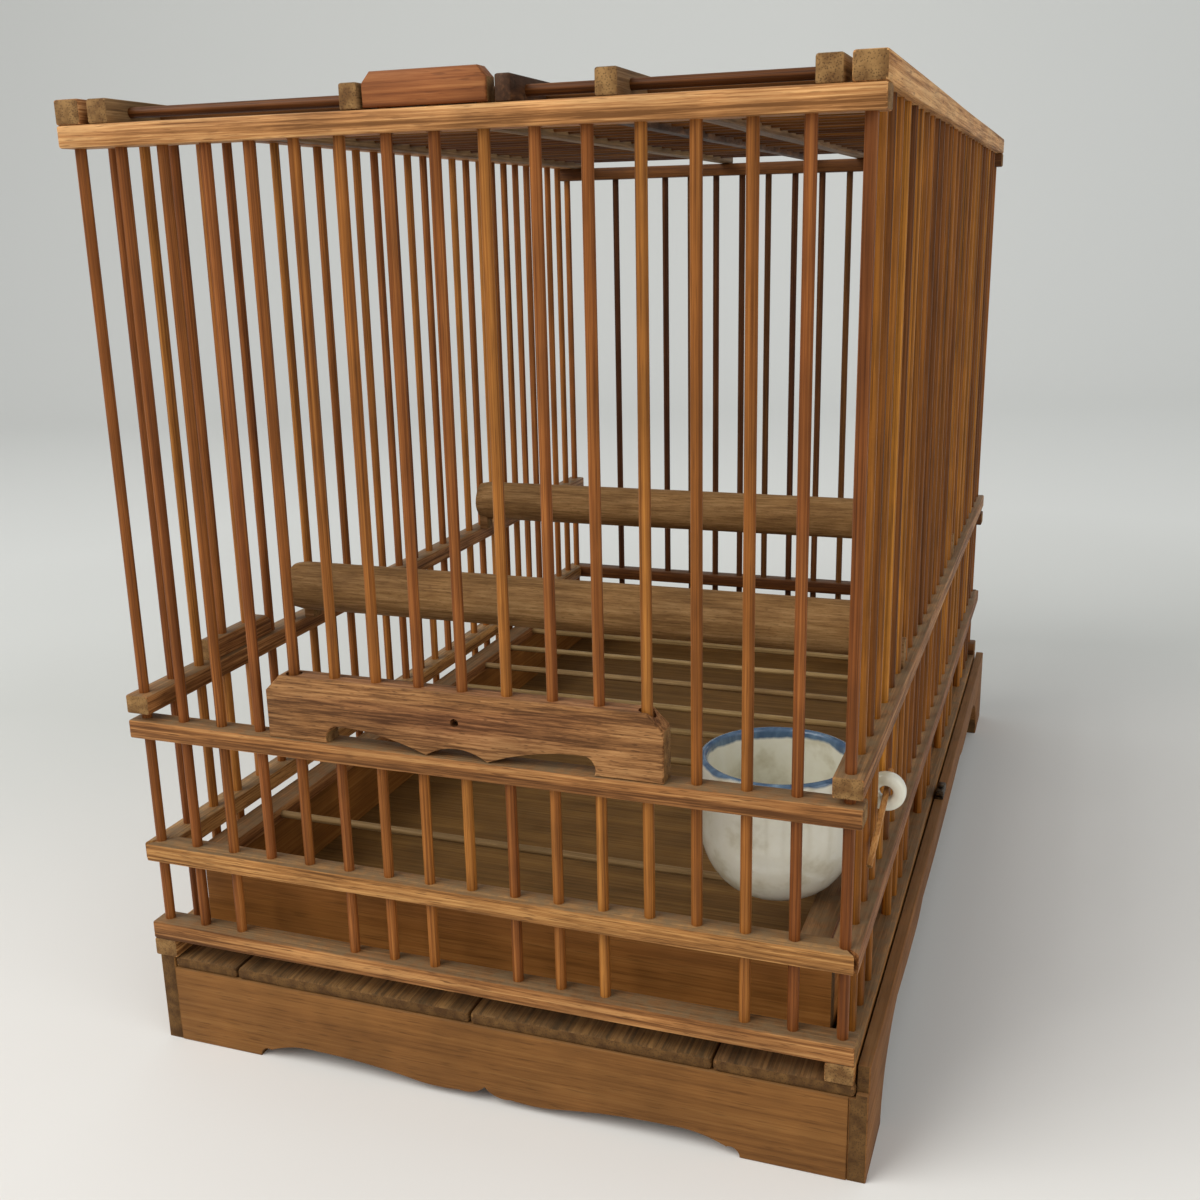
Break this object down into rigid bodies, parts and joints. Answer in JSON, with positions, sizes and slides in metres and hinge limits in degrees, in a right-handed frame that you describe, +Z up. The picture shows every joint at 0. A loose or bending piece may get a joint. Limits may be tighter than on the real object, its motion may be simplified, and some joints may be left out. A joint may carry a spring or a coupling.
{
  "type": "wooden bird cage",
  "caption": "Wooden bird cage of thin upright bars on a separate board base, with sliding doors, perches, a hung feeding cup and a roof panel that slides back.",
  "frame": {"origin": "centre of the bounding box's underside, on the floor", "axes": "+X to the right and +Y to the back as seen from the front door, +Z up"},
  "size_m": [0.2542, 0.4222, 0.3234],
  "materials": {
    "rail_bamboo": "oiled, worn smooth",
    "bar_bamboo": "oiled, worn smooth",
    "base_wood": "dark, worn, dusty",
    "deck_wood": "dark, worn, dusty",
    "tray_wood": "plain, aged",
    "perch_wood": "weathered",
    "cup_glaze": "glossy glaze",
    "peg_bamboo": "split cane",
    "catch_brass": "dark patina"
  },
  "bodies": {
    "base": {"base_front_board": "base_wood", "base_back_board": "base_wood", "base_left_board": "base_wood", "base_right_board": "base_wood", "deck_plank_1": "deck_wood", "deck_plank_2": "deck_wood", "deck_plank_3": "deck_wood", "deck_plank_4": "deck_wood", "tray_floor": "tray_wood", "tray_front_wall": "tray_wood", "tray_back_wall": "tray_wood", "tray_left_wall": "tray_wood", "tray_right_wall": "tray_wood", "grid_left_rail": "tray_wood", "grid_right_rail": "tray_wood", "grid_sticks": "tray_wood", "catch_plate": "catch_brass", "catch_pin": "catch_brass"},
    "cage": {"front_bottom_rail": "rail_bamboo", "front_lower_rail": "rail_bamboo", "front_middle_rail": "rail_bamboo", "front_top_rail": "rail_bamboo", "back_bottom_rail": "rail_bamboo", "back_lower_rail": "rail_bamboo", "back_middle_rail": "rail_bamboo", "back_top_rail": "rail_bamboo", "left_bottom_rail": "rail_bamboo", "left_lower_rail": "rail_bamboo", "left_middle_rail": "rail_bamboo", "left_top_rail": "rail_bamboo", "right_bottom_rail": "rail_bamboo", "right_lower_rail": "rail_bamboo", "right_middle_rail": "rail_bamboo", "right_top_rail": "rail_bamboo", "front_bars": "bar_bamboo", "back_bars": "bar_bamboo", "left_bars": "bar_bamboo", "right_bars": "bar_bamboo", "corner_bars": "bar_bamboo", "feeding_cup": "cup_glaze"},
    "front_door": {"door_plate": "rail_bamboo", "door_bars": "bar_bamboo", "door_lift_block": "rail_bamboo"},
    "left_door": {"left_door_plate": "rail_bamboo", "left_door_bars": "bar_bamboo"},
    "roof_panel": {"roof_batten_left": "rail_bamboo", "roof_batten_mid_left": "rail_bamboo", "roof_batten_centre": "rail_bamboo", "roof_batten_mid_right": "rail_bamboo", "roof_batten_right": "rail_bamboo", "roof_rods": "bar_bamboo"},
    "front_perch": {"perch_front": "perch_wood"},
    "back_perch": {"perch_back": "perch_wood"},
    "peg": {"cup_peg": "peg_bamboo"},
    "catch": {"catch_button": "catch_brass"}
  },
  "joints": [
    {"name": "cage_lift", "type": "slide", "parent": "base", "child": "cage", "axis": [0, 0, 1], "range_m": [0, 0.12]},
    {"name": "front_door_slide", "type": "slide", "parent": "cage", "child": "front_door", "axis": [0, 0, 1], "range_m": [0, 0.14]},
    {"name": "left_door_slide", "type": "slide", "parent": "cage", "child": "left_door", "axis": [0, 0, 1], "range_m": [0, 0.14]},
    {"name": "roof_slide", "type": "slide", "parent": "cage", "child": "roof_panel", "axis": [0, 1, 0], "range_m": [0, 0.15]},
    {"name": "front_perch_lift", "type": "slide", "parent": "cage", "child": "front_perch", "axis": [0, 0, 1], "range_m": [0, 0.12]},
    {"name": "back_perch_lift", "type": "slide", "parent": "cage", "child": "back_perch", "axis": [0, 0, 1], "range_m": [0, 0.12]},
    {"name": "peg_slide", "type": "slide", "parent": "cage", "child": "peg", "axis": [0, -0.9511, -0.309], "range_m": [-0.03, 0.008]},
    {"name": "catch_turn", "type": "hinge", "parent": "base", "child": "catch", "pos_m": [0.12448, 0, 0.0399], "axis": [0, 0, 1], "range_deg": [0, 90]}
  ]
}
